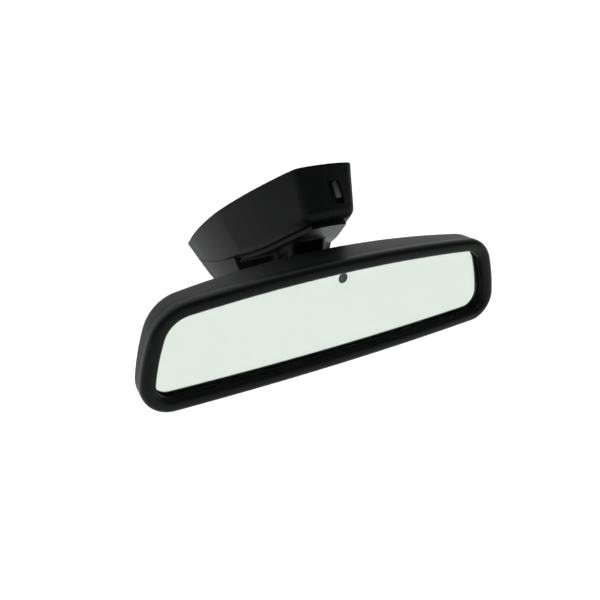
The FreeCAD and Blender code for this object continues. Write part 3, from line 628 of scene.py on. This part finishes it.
# floor, lights, sky and camera; lengths in metres, angles in degrees
studio = {
    "floorDrop": 0.42, "floorSize": 160.0, "floorCells": 8,
    "floorColour": (0.93, 0.95, 0.93), "floorDark": 0.995, "floorClouds": 3.0, "floorRough": 0.9,
    "sky": (0.96, 0.98, 0.96),
    "skyFront": 0.16,      # sky on the side that the glass faces
    "skyBehind": 1.25,     # and behind the mirror
    "skyBand": 0.6,        # direction's y over which one turns into the other
    "sunTilt": (0.30, -0.25), "sunStrength": 2.0, "sunSoftness": 75.0,
    "lamps": [("leftLamp", (-1.1, 0.5, 0.35), 0.9, 5.0)],      # name, place, size, power
    "lampTarget": (0, 0, -0.02),
    "eye": (-0.17841, -0.34129, 0.11180), "lens": 34.8, "sensor": 36.0,
    "right": (0.8632, -0.5048, 0.0077), "up": (0.2079, 0.3694, 0.9057),
}


# a level square of pale paper, far below the part so that no edge of it shows
def placeFloor():
    half = studio["floorSize"] / 2
    z = cadBox[0][2] - studio["floorDrop"]
    cells = studio["floorCells"]
    rows = cells + 1
    steps = np.linspace(-half, half, rows)
    x, y = np.meshgrid(steps, steps, indexing="ij")
    points = np.stack([x, y, np.full_like(x, z)], axis=-1)
    i, j = np.meshgrid(np.arange(cells), np.arange(cells), indexing="ij")
    corner = i * rows + j
    faces = np.stack([corner, corner + rows, corner + rows + 1, corner + 1], axis=-1)
    mesh = bpy.data.meshes.new("paleFloor")
    mesh.from_pydata(points.reshape(-1, 3).tolist(), [], faces.reshape(-1, 4).tolist())
    material, tree, shader = startMaterial("floorPaper")
    coords = tree.nodes.new("ShaderNodeTexCoord").outputs["Object"]
    base = np.array(studio["floorColour"])
    cloudy = noiseNode(tree, coords, studio["floorClouds"])
    tree.links.new(twoColours(tree, cloudy, base * studio["floorDark"], base), shader.inputs["Base Color"])
    shader.inputs["Roughness"].default_value = studio["floorRough"]
    mesh.materials.append(material)
    floor = bpy.data.objects.new("paleFloor", mesh)
    bpy.context.scene.collection.objects.link(floor)


# a square lamp at its place, turned to the target
def placeLamp(name, place, size, power):
    light = bpy.data.lights.new(name, "AREA")
    light.size = size
    light.energy = power
    lamp = bpy.data.objects.new(name, light)
    lamp.location = place
    aim = Vector(studio["lampTarget"]) - Vector(place)
    lamp.rotation_euler = aim.to_track_quat("-Z", "Y").to_euler()
    bpy.context.scene.collection.objects.link(lamp)


# camera at the eye; its axes are right, up and right x up
def placeCamera():
    lens = bpy.data.cameras.new("viewer")
    lens.lens = studio["lens"]
    lens.sensor_width = studio["sensor"]
    camera = bpy.data.objects.new("viewer", lens)
    right, up = Vector(studio["right"]).normalized(), Vector(studio["up"]).normalized()
    back = right.cross(up)
    rows = Matrix((right, up, back)).transposed()
    camera.matrix_world = Matrix.Translation(Vector(studio["eye"])) @ rows.to_4x4()
    bpy.context.scene.collection.objects.link(camera)
    bpy.context.scene.camera = camera


# a soft sun nearly overhead, shining along (tilt x, tilt y, -1)
def placeSun():
    light = bpy.data.lights.new("overheadSoftbox", "SUN")
    light.energy = studio["sunStrength"]
    light.angle = math.radians(studio["sunSoftness"])
    sun = bpy.data.objects.new("overheadSoftbox", light)
    x, y = studio["sunTilt"]
    sun.rotation_euler = Vector((x, y, -1)).to_track_quat("-Z", "Y").to_euler()
    bpy.context.scene.collection.objects.link(sun)


# sky strength eases from front to behind as the direction's y goes from -band to band
def makeSky():
    world = bpy.data.worlds.new("studioSky")
    world.use_nodes = True
    tree = world.node_tree
    background = tree.nodes["Background"]
    background.inputs["Color"].default_value = (*studio["sky"], 1)
    direction = tree.nodes.new("ShaderNodeTexCoord").outputs["Generated"]
    split = tree.nodes.new("ShaderNodeSeparateXYZ")
    tree.links.new(direction, split.inputs[0])
    ramp = tree.nodes.new("ShaderNodeMapRange")
    ramp.interpolation_type = "SMOOTHSTEP"
    ramp.inputs["From Min"].default_value = -studio["skyBand"]
    ramp.inputs["From Max"].default_value = studio["skyBand"]
    ramp.inputs["To Min"].default_value = studio["skyFront"]
    ramp.inputs["To Max"].default_value = studio["skyBehind"]
    tree.links.new(split.outputs["Y"], ramp.inputs["Value"])
    tree.links.new(ramp.outputs[0], background.inputs["Strength"])
    bpy.context.scene.world = world


placeFloor()
for lamp in studio["lamps"]:
    placeLamp(*lamp)
placeSun()
makeSky()
bpy.context.scene.view_settings.view_transform = "Standard"
placeCamera()
print("studio made")
